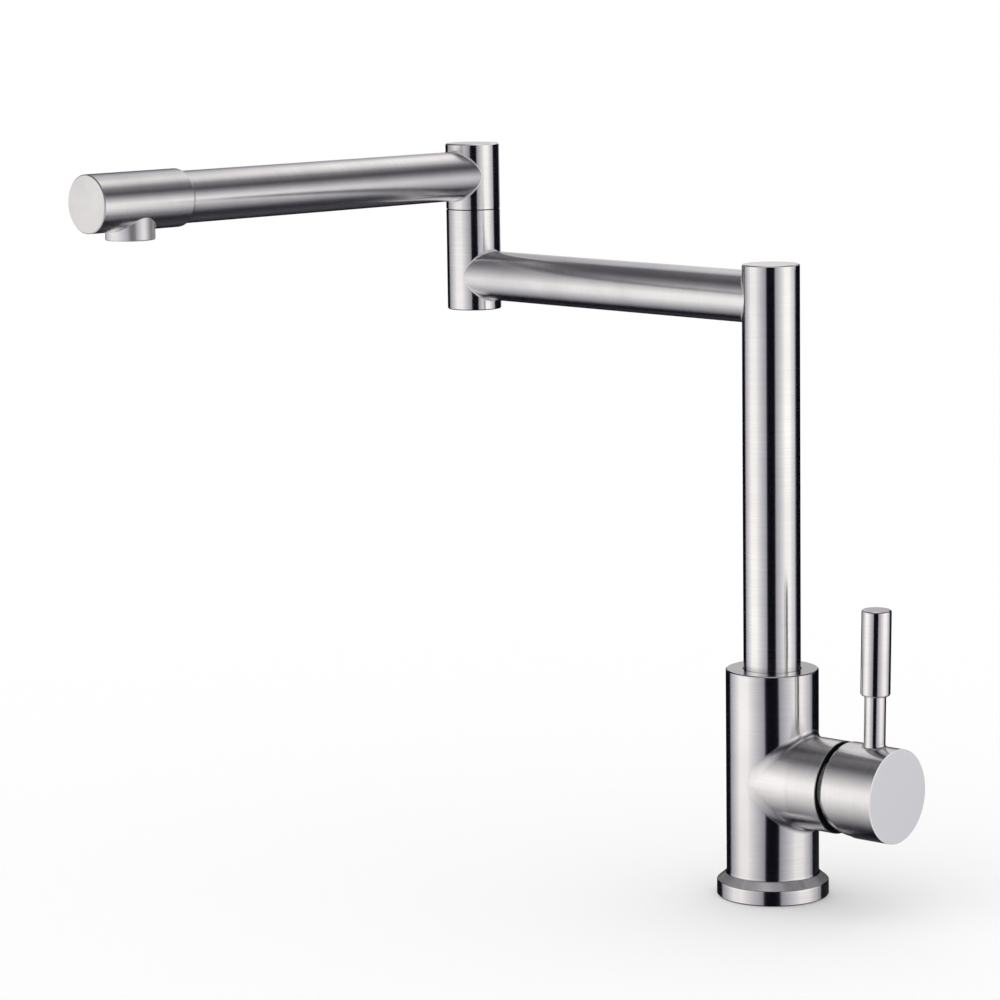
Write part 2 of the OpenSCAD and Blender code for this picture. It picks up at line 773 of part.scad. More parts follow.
module lever_grip() {
    color(steel) on_lever() translate([0, 0, grip_foot]) difference() {
        rotate_extrude() polygon(concat(
            [[0, 0]],
            arc(grip_d / 2 - grip_round, grip_round, grip_round, -90, 0, 4),
            arc(grip_d / 2 - grip_round, grip_len - grip_round, grip_round, 0, 90, 4),
            [[0, grip_len]]));
        translate([0, 0, -over]) cylinder(h = grip_socket + over, r = stem_d / 2 + seat_gap);
    }
}

module knob_grub_screw() {
    h = knob_r - plug_h - 0.4 - spindle_half;
    color(steel_dark) translate([grub_x, 0, branch_z - spindle_half]) rotate([180, 0, 0]) difference() {
        cylinder(h = h, d = grub_d);
        translate([0, 0, h - 2.5]) cylinder(h = 2.5 + over, d = grub_d * 0.55, $fn = 6);
    }
}

module grub_screw_plug() {
    color(steel_dark) translate([grub_x, 0, branch_z]) rotate([180, 0, 0])
        translate([0, 0, knob_r - plug_h - 0.3]) cylinder(h = plug_h, r = plug_r);
}

mixer_body();
side_branch();
base_gasket();
riser_bush();
riser_washer();
riser_lock_screw();
cartridge_base();
port_seals();
fixed_disc();
cartridge_housing();
retaining_nut();
trim_ring();
riser_tube();
riser_cap();
riser_spigot();
riser_o_rings();
lower_arm();
elbow_lower_housing();
elbow_bottom_cap();
elbow_bearing();
elbow_washer();
elbow_upper_housing();
elbow_top_cap();
elbow_spigot();
elbow_o_rings();
elbow_clip();
upper_arm();
head_sleeve();
head_cap();
nozzle_collar();
aerator_housing();
aerator_screen();
aerator_gasket();
cartridge_rotor();
pivot_pin();
moving_disc();
disc_carrier();
spindle();
knob();
lever_stem();
lever_grip();
knob_grub_screw();
grub_screw_plug();
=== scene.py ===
import json
import math

import bmesh
import bpy
from bpy.props import FloatProperty, FloatVectorProperty, PointerProperty
from mathutils import Matrix, Vector


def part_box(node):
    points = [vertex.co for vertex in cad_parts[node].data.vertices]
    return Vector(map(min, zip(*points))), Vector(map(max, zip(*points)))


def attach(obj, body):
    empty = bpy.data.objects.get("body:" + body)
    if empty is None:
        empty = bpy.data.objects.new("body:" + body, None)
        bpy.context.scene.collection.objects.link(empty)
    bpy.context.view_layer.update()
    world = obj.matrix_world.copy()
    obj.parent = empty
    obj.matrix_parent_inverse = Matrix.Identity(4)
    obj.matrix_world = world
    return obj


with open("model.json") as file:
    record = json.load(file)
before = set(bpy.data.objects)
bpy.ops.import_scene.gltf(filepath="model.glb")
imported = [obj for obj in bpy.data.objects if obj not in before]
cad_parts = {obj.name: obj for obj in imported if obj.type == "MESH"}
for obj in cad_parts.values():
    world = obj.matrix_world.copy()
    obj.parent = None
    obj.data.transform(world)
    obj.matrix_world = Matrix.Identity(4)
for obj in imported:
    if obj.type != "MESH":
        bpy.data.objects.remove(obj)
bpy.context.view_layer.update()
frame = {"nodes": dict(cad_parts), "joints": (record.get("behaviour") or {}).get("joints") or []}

bl_info = {
    "name": "Articulated Kitchen Faucet",
    "version": (1, 0, 0),
    "blender": (4, 5, 0),
    "location": "View3D > Sidebar > Faucet",
    "description": "Gives the faucet its brushed steel, its welded joints and a plain studio",
    "category": "Object",
}

JOINTS = {joint["name"]: joint for joint in frame["joints"]}
UP = Vector((0, 0, 1))
MM = 0.001


def span(node):
    """Width, depth and height of a CAD node."""
    low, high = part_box(node)
    return high - low


def middle(node):
    """Middle of a CAD node's box."""
    low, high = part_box(node)
    return (low + high) / 2


def flat(point):
    """The point's place on the deck."""
    return point.to_2d().to_3d()


# Axes of the tubes
ELBOW = flat(Vector(JOINTS["elbow_swivel"]["pos_m"]))
KNOB_AXIS = Vector(JOINTS["handle_mix"]["pos_m"])
LOWER_ARM_Z = middle("lower_arm").z
UPPER_ARM_Z = middle("head_cap").z
LOWER_ARM_WAY = ELBOW.normalized()
UPPER_ARM_WAY = (flat(middle("head_cap")) - ELBOW).normalized()
BRANCH_WAY = Vector((1, 0, 0))
LEVER_LEAN = math.radians(1)

# Radii of the tubes. The body's box holds its foot too, so its radius is given.
BODY_R = 22.7 * MM
ARM_R = span("lower_arm").z / 2
RISER_R = span("riser_cap").x / 2
ELBOW_R = span("elbow_top_cap").x / 2
HEAD_R = span("head_cap").z / 2
NOZZLE_WALL = 1.83 * MM
NOZZLE_R = span("aerator_housing").x / 2 + NOZZLE_WALL
BRANCH_R = span("side_branch").z / 2
KNOB_R = span("knob").z / 2
STEM_R = span("lever_stem").y / 2

# Stretches with a finish of their own: from the ends of the knob and the branch to their bevelled
# rims, the knob's flat face alone, and the heights between which the foot slopes. The knob's rim
# carries a painted highlight and the branch's end a painted shade.
EDGE_BEVEL = 0.55 * MM
FACE_SKIN = 0.05 * MM
FLANGE_SLOPE = (7.5 * MM, 10.9 * MM)

# Brushing marks: how much they stretch what the metal mirrors, how much the axis of that stretch
# leans, and the length and the spacing of the marks in metres
ANISOTROPY = 0.85
AXIS_LEAN = 0.04
MARK_LENGTH = 1 / 45
MARK_PITCH = 1 / 2600
# Share of itself by which a roughness varies, up and down
ROUGHNESS_SPREAD = 0.2

# Steps round a weld and across its arc
WELD_STEPS = 120
WELD_ARC_STEPS = 8
# Keeps a weld's radius finite where its two tubes are tangent
LEAST_ANGLE = 1e-6
# Corners nearer than this become one
MERGE_DISTANCE = 1e-7
# Edges that turn more than this stay sharp
SHARP_ANGLE = math.radians(35)

# Light of the tent between its panels
DIM_LIGHT = (0.004, 0.004, 0.006)
# Tones of a panel, from its middle (0) to its side (1)
PANEL_TONES = (
    (0.2, (1, 0.975, 0.955)),
    (0.4, (0.78, 0.765, 0.76)),
    (0.65, (0.56, 0.55, 0.571)),
    (0.94, (0.34, 0.33, 0.353)),
    (1.0, (0, 0, 0)),
)
# Share of a panel's reach up or down that keeps its full strength
FULL_SHARE = 0.12
# Label, turn to the right of the camera, rise, half width, reach above and reach below, all five
# in degrees, and strength. A half width of 900 leaves a panel even all round.
PANELS = (
    ("Left panel", -72.4, -6, 53.2, 52, 64, 1.13),
    ("Right panel", 56.2, 2, 48.8, 44, 75, 1.17),
    ("Back wall", 181, 19, 25, 16, 22, 0.8),
    ("Back overhead panel", 168, 51, 52, 32, 32, 1.0),
    ("Low back panel", 163, -42, 50, 22, 26, 0.075),
    ("Top panel", 0, 90, 900, 55, 55, 0.33),
    ("Zenith panel", 0, 90, 900, 24, 24, 0.6),
)
TENT_SEGMENTS, TENT_RINGS = 128, 64

# The floor lies just under the foot, so that the two faces don't coincide
FLOOR_DROP = 0.2 * MM
WHITE = (1, 1, 1, 1)

# Width of the camera's sensor in millimetres, and its nearest and furthest sight in metres
SENSOR_WIDTH = 36
CLIP_START, CLIP_END = 0.05, 50


class FaucetMetal(bpy.types.PropertyGroup):
    """Colours and polish of the steel"""

    steel: FloatVectorProperty(
        name="Steel", description="Colour of the brushed stainless steel",
        subtype="COLOR", size=3, min=0, max=1, default=(0.83, 0.82, 0.825))
    tube_roughness: FloatProperty(
        name="Tube Roughness", description="Roughness of the polished tubes",
        subtype="FACTOR", min=0, max=1, default=0.17)
    turned_roughness: FloatProperty(
        name="Turned Roughness",
        description="Roughness of the knob, the branch, the arms and the spout head",
        subtype="FACTOR", min=0, max=1, default=0.21)
    blasted_roughness: FloatProperty(
        name="Blasted Roughness", description="Roughness of the knob's flat face and its rim",
        subtype="FACTOR", min=0, max=1, default=0.42)
    nozzle_roughness: FloatProperty(
        name="Nozzle Roughness", description="Roughness of the nozzle",
        subtype="FACTOR", min=0, max=1, default=0.32)
    nozzle_mirror: FloatProperty(
        name="Nozzle Mirror", description="How much the nozzle mirrors instead of scattering light",
        subtype="FACTOR", min=0, max=1, default=0.8)
    weld_roughness: FloatProperty(
        name="Weld Roughness", description="Roughness of the arm welds",
        subtype="FACTOR", min=0, max=1, default=0.35)
    weld_mirror: FloatProperty(
        name="Weld Mirror", description="How much the arm welds mirror instead of scattering light",
        subtype="FACTOR", min=0, max=1, default=0.6)
    slope_mirror: FloatProperty(
        name="Slope Mirror",
        description="How much the foot's slope mirrors instead of scattering light",
        subtype="FACTOR", min=0, max=1, default=0.8)
    face_mirror: FloatProperty(
        name="Face Mirror",
        description="How much the knob's flat face mirrors instead of scattering light",
        subtype="FACTOR", min=0, max=1, default=0.45)
    face: FloatVectorProperty(
        name="Face", description="Colour of the knob's flat face",
        subtype="COLOR", size=3, min=0, max=1, default=(0.84, 0.845, 0.875))
    # Painted highlight: the knob's bevelled rim is made pale and scattering, so that it shows the
    # bright line a rounded edge would catch
    painted_rim_highlight_mirror: FloatProperty(
        name="Rim Mirror", description="How much the knob's rim mirrors instead of scattering light",
        subtype="FACTOR", min=0, max=1, default=0.3)
    painted_rim_highlight: FloatVectorProperty(
        name="Rim", description="Colour of the knob's bevelled rim",
        subtype="COLOR", size=3, min=0, max=1, default=(0.92, 0.92, 0.93))
    # Painted shade: the branch's end, deep in the narrow gap behind the knob, is coloured black and
    # given no gloss
    gap: FloatVectorProperty(
        name="Gap", description="Colour of the branch's black end, inside the gap behind the knob",
        subtype="COLOR", size=3, min=0, max=1, default=(0.008, 0.008, 0.009))
    painted_gap_shade_roughness: FloatProperty(
        name="Gap Roughness", description="Roughness of the branch's black end",
        subtype="FACTOR", min=0, max=1, default=0.7)
    grain: FloatProperty(
        name="Grain", description="Strength of the fine brushing marks",
        subtype="FACTOR", min=0, max=1, default=0.04)


class FaucetWelds(bpy.types.PropertyGroup):
    """Radii of the polished welds"""

    body: FloatProperty(
        name="Body Fillet",
        description="Least radius of the fillet between the body and its side branch",
        unit="LENGTH", default=3 * MM, min=0.3 * MM, max=5 * MM)
    body_widest: FloatProperty(
        name="Widest Body Fillet",
        description="Largest radius of that fillet, where the branch runs almost level with the body",
        unit="LENGTH", default=30 * MM, min=3 * MM, max=60 * MM)
    arm: FloatProperty(
        name="Arm Weld", description="Fillet where an arm meets the riser or the elbow",
        unit="LENGTH", default=0.9 * MM, min=0.2 * MM, max=2 * MM)
    nozzle: FloatProperty(
        name="Nozzle Weld", description="Fillet between the nozzle collar and the spout head",
        unit="LENGTH", default=0.7 * MM, min=0.2 * MM, max=2 * MM)
    stem: FloatProperty(
        name="Stem Fillet", description="Fillet between the lever's stem and the knob",
        unit="LENGTH", default=1.4 * MM, min=0.2 * MM, max=2 * MM)


class FaucetStudio(bpy.types.PropertyGroup):
    """The floor, the camera and the light"""

    camera_turn: FloatProperty(
        name="Camera Turn", description="Compass turn of the camera about the riser",
        subtype="ANGLE", default=math.radians(41.579))
    camera_pitch: FloatProperty(
        name="Camera Pitch", description="How far the camera looks down",
        subtype="ANGLE", default=math.radians(8.647))
    camera_roll: FloatProperty(
        name="Camera Roll", description="Roll of the camera about its own view",
        subtype="ANGLE", default=math.radians(-0.841))
    camera_distance: FloatProperty(
        name="Camera Distance", description="Distance from the camera to the point it looks at",
        unit="LENGTH", default=1.7756)
    target_side: FloatProperty(
        name="Target Side", description="Sideways shift of the point the camera looks at",
        unit="LENGTH", default=-0.131703)
    target_height: FloatProperty(
        name="Target Height", description="Height of the point the camera looks at",
        unit="LENGTH", default=0.197623)
    lens: FloatProperty(
        name="Lens", description="Focal length of the camera in millimetres",
        unit="CAMERA", default=131.816)
    floor_size: FloatProperty(
        name="Floor Size", description="Width of the pale floor",
        unit="LENGTH", default=6.0)
    tent_centre: FloatVectorProperty(
        name="Tent Centre", description="Centre of the round tent that carries the soft panels",
        subtype="TRANSLATION", unit="LENGTH", size=3, default=(-0.07, 0.1, 0.17))
    tent_radius: FloatProperty(
        name="Tent Radius", description="Radius of the round tent",
        unit="LENGTH", default=0.9, min=0.6, max=5)
    panel_strength: FloatProperty(
        name="Panel Strength", description="Brightness of the soft panels that the metal mirrors",
        min=0, max=4, default=1.0)
    blue_power: FloatProperty(
        name="Blue Power",
        description="Power of the tent's blue light, which makes dim light bluer below 1",
        min=0.8, max=1.2, default=0.965)


def add_node(tree, kind, label, **values):
    """A shader node with its settings and its sockets' own values."""
    node = tree.nodes.new(kind)
    node.label = label
    for key, value in values.items():
        if key in node.bl_rna.properties:
            setattr(node, key, value)
        else:
            node.inputs[key].default_value = value
    return node


def new_material(name):
    """An empty material and its surface shader."""
    material = bpy.data.materials.new(name)
    material.use_nodes = True
    tree = material.node_tree
    tree.nodes.clear()
    shader = tree.nodes.new("ShaderNodeBsdfPrincipled")
    output = tree.nodes.new("ShaderNodeOutputMaterial")
    tree.links.new(shader.outputs["BSDF"], output.inputs["Surface"])
    return material, tree, shader


def vary_tone(tree, shader, colour, noise, darkest, lightest):
    """Varies a colour between two shares of itself, as a noise goes from 0 to 1."""
    tone = add_node(tree, "ShaderNodeMix", "Tone", data_type="RGBA")
    for socket, share in (("A", darkest), ("B", lightest)):
        tone.inputs[socket].default_value = (*[min(1, c * share) for c in colour], 1)
    tree.links.new(noise, tone.inputs["Factor"])
    tree.links.new(tone.outputs["Result"], shader.inputs["Base Color"])


def vary_surface(tree, shader, roughness, noise, strength, height):
    """Varies the roughness and raises a fine relief, both after the same noise."""
    finish = add_node(tree, "ShaderNodeMapRange", "Finish")
    finish.inputs["To Min"].default_value = roughness * (1 - ROUGHNESS_SPREAD)
    finish.inputs["To Max"].default_value = min(1, roughness * (1 + ROUGHNESS_SPREAD))
    tree.links.new(noise, finish.inputs["Value"])
    tree.links.new(finish.outputs["Result"], shader.inputs["Roughness"])
    relief = add_node(tree, "ShaderNodeBump", "Fine relief", Strength=strength, Distance=height)
    tree.links.new(noise, relief.inputs["Height"])
    tree.links.new(relief.outputs["Normal"], shader.inputs["Normal"])


def brushed_metal(name, colour, roughness, grain, way, mirror=1):
    """Metal with fine turning marks that run round the given axis.

    The marks blur what the metal mirrors along the axis and keep it crisp round it. The axis of
    this blur leans a little, which gives it one clear direction on the flat ends too."""
    material, tree, shader = new_material(name)
    link = tree.links.new
    shader.inputs["Metallic"].default_value = mirror
    shader.inputs["Anisotropic"].default_value = ANISOTROPY
    place = tree.nodes.new("ShaderNodeTexCoord")
    axis = add_node(tree, "ShaderNodeVectorTransform", "Axis", vector_type="VECTOR",
                    convert_from="OBJECT", convert_to="WORLD")
    axis.inputs["Vector"].default_value = way + AXIS_LEAN * way.orthogonal()
    link(axis.outputs["Vector"], shader.inputs["Tangent"])
    marks_map = add_node(tree, "ShaderNodeMapping", "Marks round the axis", vector_type="TEXTURE")
    marks_map.inputs["Rotation"].default_value = UP.rotation_difference(way).to_euler()
    marks_map.inputs["Scale"].default_value = (MARK_LENGTH, MARK_LENGTH, MARK_PITCH)
    marks = add_node(tree, "ShaderNodeTexNoise", "Turning marks", Scale=1.0, Detail=4.0, Roughness=0.6)
    cloud = add_node(tree, "ShaderNodeTexNoise", "Uneven polish", Scale=38.0, Detail=3.0, Roughness=0.5)
    link(place.outputs["Object"], marks_map.inputs["Vector"])
    link(marks_map.outputs["Vector"], marks.inputs["Vector"])
    link(place.outputs["Object"], cloud.inputs["Vector"])
    mixed = add_node(tree, "ShaderNodeMath", "Marks and clouds", operation="MULTIPLY")
    link(cloud.outputs["Fac"], mixed.inputs[0])
    link(marks.outputs["Fac"], mixed.inputs[1])
    contrast = add_node(tree, "ShaderNodeMapRange", "Contrast")
    contrast.inputs["From Min"].default_value = 0.1
    contrast.inputs["From Max"].default_value = 0.4
    link(mixed.outputs[0], contrast.inputs["Value"])
    vary_tone(tree, shader, colour, contrast.outputs["Result"], darkest=0.92, lightest=1.08)
    vary_surface(tree, shader, roughness, marks.outputs["Fac"], strength=grain, height=0.05 * MM)
    return material


def band_finish(material, way, centre, reach, colour, mirror, roughness):
    """Gives the stretch within the reach of the centre, along the given axis, a finish of its own."""
    tree = material.node_tree
    link = tree.links.new
    shader = tree.nodes["Principled BSDF"]
    place = tree.nodes.new("ShaderNodeTexCoord")
    along = add_node(tree, "ShaderNodeVectorMath", "Along the axis", operation="DOT_PRODUCT")
    along.inputs[1].default_value = way
    link(place.outputs["Object"], along.inputs[0])
    band = add_node(tree, "ShaderNodeMath", "Within the band", operation="COMPARE")
    band.inputs[1].default_value = centre
    band.inputs[2].default_value = reach
    link(along.outputs["Value"], band.inputs[0])
    finishes = (("Base Color", (*colour, 1)), ("Metallic", mirror), ("Roughness", roughness))
    for socket, finish in finishes:
        blend = add_node(tree, "ShaderNodeMix", socket + " of the band",
                         data_type="RGBA" if socket == "Base Color" else "FLOAT")
        old = shader.inputs[socket]
        if old.is_linked:
            link(old.links[0].from_socket, blend.inputs["A"])
        else:
            blend.inputs["A"].default_value = old.default_value
        blend.inputs["B"].default_value = finish
        link(band.outputs["Value"], blend.inputs["Factor"])
        link(blend.outputs["Result"], old)


def plain_matter(name, colour, roughness, scale, shine=0.5, coat=0.0):
    """A moulded or machined matter with a faint grain."""
    material, tree, shader = new_material(name)
    shader.inputs["Specular IOR Level"].default_value = shine
    shader.inputs["Coat Weight"].default_value = coat
    place = tree.nodes.new("ShaderNodeTexCoord")
    grain = add_node(tree, "ShaderNodeTexNoise", "Grain", Scale=scale, Detail=4.0)
    tree.links.new(place.outputs["Object"], grain.inputs["Vector"])
    vary_tone(tree, shader, colour, grain.outputs["Fac"], darkest=0.88, lightest=1.1)
    vary_surface(tree, shader, roughness, grain.outputs["Fac"], strength=0.12, height=0.1 * MM)
    return material


def dress(node, material):
    """Puts a material on a CAD node."""
    mesh = frame["nodes"][node].data
    mesh.materials.clear()
    mesh.materials.append(material)


def steel(way, polish):
    """The steel of one polish whose marks run round the given axis, made once for each axis."""
    metal = bpy.context.scene.faucet_metal
    angle = "up" if way == UP else round(math.degrees(math.atan2(way.y, way.x)))
    name = f"steel_{polish}_{angle}".replace("-", "m")
    if name in bpy.data.materials:
        return bpy.data.materials[name]
    roughness = getattr(metal, polish + "_roughness")
    mirror = getattr(metal, polish + "_mirror", 1)
    return brushed_metal(name, metal.steel, roughness, metal.grain, way, mirror)


def saddle_weld(name, centre, out_way, main_way, main_r, side_r, bead, widest=0,
                steps=WELD_STEPS, arc_steps=WELD_ARC_STEPS):
    """A polished concave weld where a side tube meets a main tube at a right angle.

    A grid is bent round the saddle. Its section is the arc of a ball that touches both tubes,
    closed by a corner hidden under them. Up to the widest radius, the ball grows where the tubes
    meet at a shallow angle, so that the weld keeps its width."""
    mesh = bmesh.new()
    rows = arc_steps + 2
    bmesh.ops.create_grid(mesh, x_segments=steps, y_segments=rows, size=0.5)
    sideways = main_way.cross(out_way)
    place = Matrix((out_way, sideways, main_way)).transposed()
    hidden = bead / 3
    for vertex in mesh.verts:
        # The grid runs from -0.5 to 0.5, round the side tube in x and across the section in y
        turn = 2 * math.pi * (vertex.co.x + 0.5)
        step = round((vertex.co.y + 0.5) * rows)
        sine, cosine = math.sin(turn), math.cos(turn)
        edge = Vector((0, side_r * sine, side_r * cosine))
        edge.x = math.sqrt(main_r ** 2 - edge.y ** 2)
        meeting_angle = math.acos(edge.y / main_r * sine)
        ball_r = max(bead, min(widest, bead / math.tan(meeting_angle / 2 + LEAST_ANGLE)))
        across = (side_r + ball_r) * sine
        outward = math.sqrt((main_r + ball_r) ** 2 - across ** 2)
        ball = Vector((outward, across, (side_r + ball_r) * cosine))
        main_share, side_share = main_r / (main_r + ball_r), side_r / (side_r + ball_r)
        on_main = Vector((ball.x * main_share, ball.y * main_share, ball.z))
        on_side = Vector((ball.x, ball.y * side_share, ball.z * side_share))
        if step == rows - 1:
            # The hidden corner
            point = edge - Vector((hidden, 0, 0))
            point.yz *= 1 - hidden / side_r
        else:
            # The arc, and in the last row its first point again, which closes the section
            share = (step % rows) / arc_steps
            outset = (on_main - ball).normalized().slerp((on_side - ball).normalized(), share)
            point = ball + ball_r * outset
        vertex.co = centre + place @ point
    bmesh.ops.remove_doubles(mesh, verts=mesh.verts, dist=MERGE_DISTANCE)
    bmesh.ops.recalc_face_normals(mesh, faces=mesh.faces)
    return piece_from(mesh, name)


def piece_from(mesh, name):
    """Turns a finished bmesh into a smooth object of the scene."""
    for face in mesh.faces:
        face.smooth = True
    data = bpy.data.meshes.new(name)
    mesh.to_mesh(data)
    mesh.free()
    data.set_sharp_from_angle(angle=SHARP_ANGLE)
    piece = bpy.data.objects.new(name, data)
    bpy.context.scene.collection.objects.link(piece)
    return piece


def settle(piece, body, material):
    """Gives a new piece its body and its material."""
    piece.data.materials.append(material)
    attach(piece, body)


class FAUCET_OT_steel(bpy.types.Operator):
    """Put brushed steel on the body, the branch, the tubes, the knob and the lever, with a painted
    highlight on the knob's rim and painted shade on the branch's end
    """

    bl_idname = "faucet.steel"
    bl_label = "Brushed Steel"

    def execute(self, context):
        looks = (
            ("tube", UP, ["riser_tube", "riser_cap", "elbow_lower_housing", "elbow_bottom_cap",
                          "elbow_upper_housing", "elbow_top_cap", "lever_stem", "lever_grip"]),
            ("nozzle", UP, ["nozzle_collar"]),
            ("turned", LOWER_ARM_WAY, ["lower_arm"]),
            ("turned", UPPER_ARM_WAY, ["upper_arm", "head_sleeve", "head_cap"]),
        )
        for polish, way, nodes in looks:
            for node in nodes:
                dress(node, steel(way, polish))
        metal = context.scene.faucet_metal
        knob = brushed_metal("knob_steel", metal.steel, metal.turned_roughness, metal.grain,
                             BRANCH_WAY)
        knob_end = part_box("knob")[1].x
        # The knob's bevelled rim gets a painted highlight, and its flat face gets a finish of its own
        band_finish(knob, BRANCH_WAY, knob_end, EDGE_BEVEL, metal.painted_rim_highlight, metal.painted_rim_highlight_mirror,
                    metal.blasted_roughness)
        band_finish(knob, BRANCH_WAY, knob_end, FACE_SKIN, metal.face, metal.face_mirror,
                    metal.blasted_roughness)
        dress("knob", knob)
        branch = brushed_metal("branch_steel", metal.steel, metal.turned_roughness, metal.grain,
                               BRANCH_WAY)
        branch_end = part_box("side_branch")[1].x
        # Painted shade: the branch's end inside the gap behind the knob is made black, without metal
        band_finish(branch, BRANCH_WAY, branch_end, EDGE_BEVEL, metal.gap, mirror=0,
                    roughness=metal.painted_gap_shade_roughness)
        # Without gloss, the painted shade at the end stays black
        branch.node_tree.nodes["Principled BSDF"].inputs["Specular IOR Level"].default_value = 0
        dress("side_branch", branch)
        body = brushed_metal("body_steel", metal.steel, metal.tube_roughness, metal.grain, UP)
        slope_low, slope_high = FLANGE_SLOPE
        band_finish(body, UP, (slope_low + slope_high) / 2, (slope_high - slope_low) / 2, metal.steel,
                    metal.slope_mirror, metal.turned_roughness)
        dress("mixer_body", body)
        return {"FINISHED"}


class FAUCET_OT_inner_parts(bpy.types.Operator):
    """Put brass, rubber, plastic and ceramic on the inner parts"""

    bl_idname = "faucet.inner_parts"
    bl_label = "Inner Parts"

    def execute(self, context):
        metal = context.scene.faucet_metal
        dark_steel = [c * 0.7 for c in metal.steel]
        looks = {
            brushed_metal("steel_fasteners", dark_steel, roughness=0.3, grain=metal.grain, way=UP): [
                "riser_lock_screw", "elbow_clip", "pivot_pin", "spindle", "knob_grub_screw",
                "grub_screw_plug", "aerator_housing"],
            brushed_metal("machined_brass", (0.78, 0.6, 0.3), roughness=0.25,
                          grain=metal.grain * 2, way=UP): [
                "retaining_nut", "riser_spigot", "elbow_spigot", "elbow_bearing"],
            plain_matter("seal_rubber", (0.02, 0.02, 0.022), roughness=0.7, scale=900): [
                "base_gasket", "port_seals", "riser_o_rings", "elbow_o_rings", "aerator_gasket"],
            plain_matter("black_nylon", (0.006, 0.006, 0.007), roughness=0.5, scale=1200,
                         shine=0.1): [
                "trim_ring", "cartridge_rotor", "riser_washer", "elbow_washer"],
            plain_matter("white_acetal", (0.82, 0.82, 0.78), roughness=0.42, scale=1200): [
                "riser_bush", "cartridge_base", "cartridge_housing", "disc_carrier", "aerator_screen"],
            plain_matter("fired_ceramic", (0.88, 0.86, 0.8), roughness=0.15, scale=400, coat=0.3): [
                "fixed_disc", "moving_disc"],
        }
        for material, nodes in looks.items():
            for node in nodes:
                dress(node, material)
        return {"FINISHED"}


class FAUCET_OT_body_fillet(bpy.types.Operator):
    """Blend the side branch into the upright body"""

    bl_idname = "faucet.body_fillet"
    bl_label = "Body Fillet"

    def execute(self, context):
        welds = context.scene.faucet_welds
        fillet = saddle_weld("branch_fillet", KNOB_AXIS, BRANCH_WAY, UP, BODY_R, BRANCH_R,
                             welds.body, widest=welds.body_widest, steps=2 * WELD_STEPS,
                             arc_steps=2 * WELD_ARC_STEPS)
        settle(fillet, "base", steel(BRANCH_WAY, "turned"))
        return {"FINISHED"}


class FAUCET_OT_arm_welds(bpy.types.Operator):
    """Weld the arms to the riser and to both halves of the elbow"""

    bl_idname = "faucet.arm_welds"
    bl_label = "Arm Welds"

    def execute(self, context):
        bead = context.scene.faucet_welds.arm
        welds = [
            ("riser_arm_weld", UP * LOWER_ARM_Z, LOWER_ARM_WAY, RISER_R, "riser"),
            ("lower_elbow_weld", ELBOW + UP * LOWER_ARM_Z, -LOWER_ARM_WAY, ELBOW_R, "riser"),
            ("upper_elbow_weld", ELBOW + UP * UPPER_ARM_Z, UPPER_ARM_WAY, ELBOW_R, "upper_arm"),
        ]
        for name, centre, way, main_r, body in welds:
            weld = saddle_weld(name, centre, way, UP, main_r, ARM_R, bead)
            settle(weld, body, steel(way, "weld"))
        return {"FINISHED"}


class FAUCET_OT_nozzle_weld(bpy.types.Operator):
    """Weld the nozzle collar to the spout head"""

    bl_idname = "faucet.nozzle_weld"
    bl_label = "Nozzle Weld"

    def execute(self, context):
        centre = flat(middle("aerator_housing")) + UP * UPPER_ARM_Z
        weld = saddle_weld("nozzle_weld", centre, -UP, UPPER_ARM_WAY, HEAD_R, NOZZLE_R,
                           context.scene.faucet_welds.nozzle)
        settle(weld, "upper_arm", steel(UP, "nozzle"))
        return {"FINISHED"}


class FAUCET_OT_stem_fillet(bpy.types.Operator):
    """Blend the lever's stem into the knob"""

    bl_idname = "faucet.stem_fillet"
    bl_label = "Stem Fillet"

    def execute(self, context):
        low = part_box("lever_stem")[0]
        sine, cosine = math.sin(LEVER_LEAN), math.cos(LEVER_LEAN)
        foot_x = low.x + STEM_R * cosine - (low.z - KNOB_AXIS.z) * math.tan(LEVER_LEAN)
        centre = Vector((foot_x, 0, KNOB_AXIS.z))
        stem_way, knob_way = Vector((sine, 0, cosine)), Vector((cosine, 0, -sine))
        fillet = saddle_weld("stem_fillet", centre, stem_way, knob_way, KNOB_R, STEM_R,
                             context.scene.faucet_welds.stem)
        settle(fillet, "handle", steel(UP, "tube"))
        return {"FINISHED"}


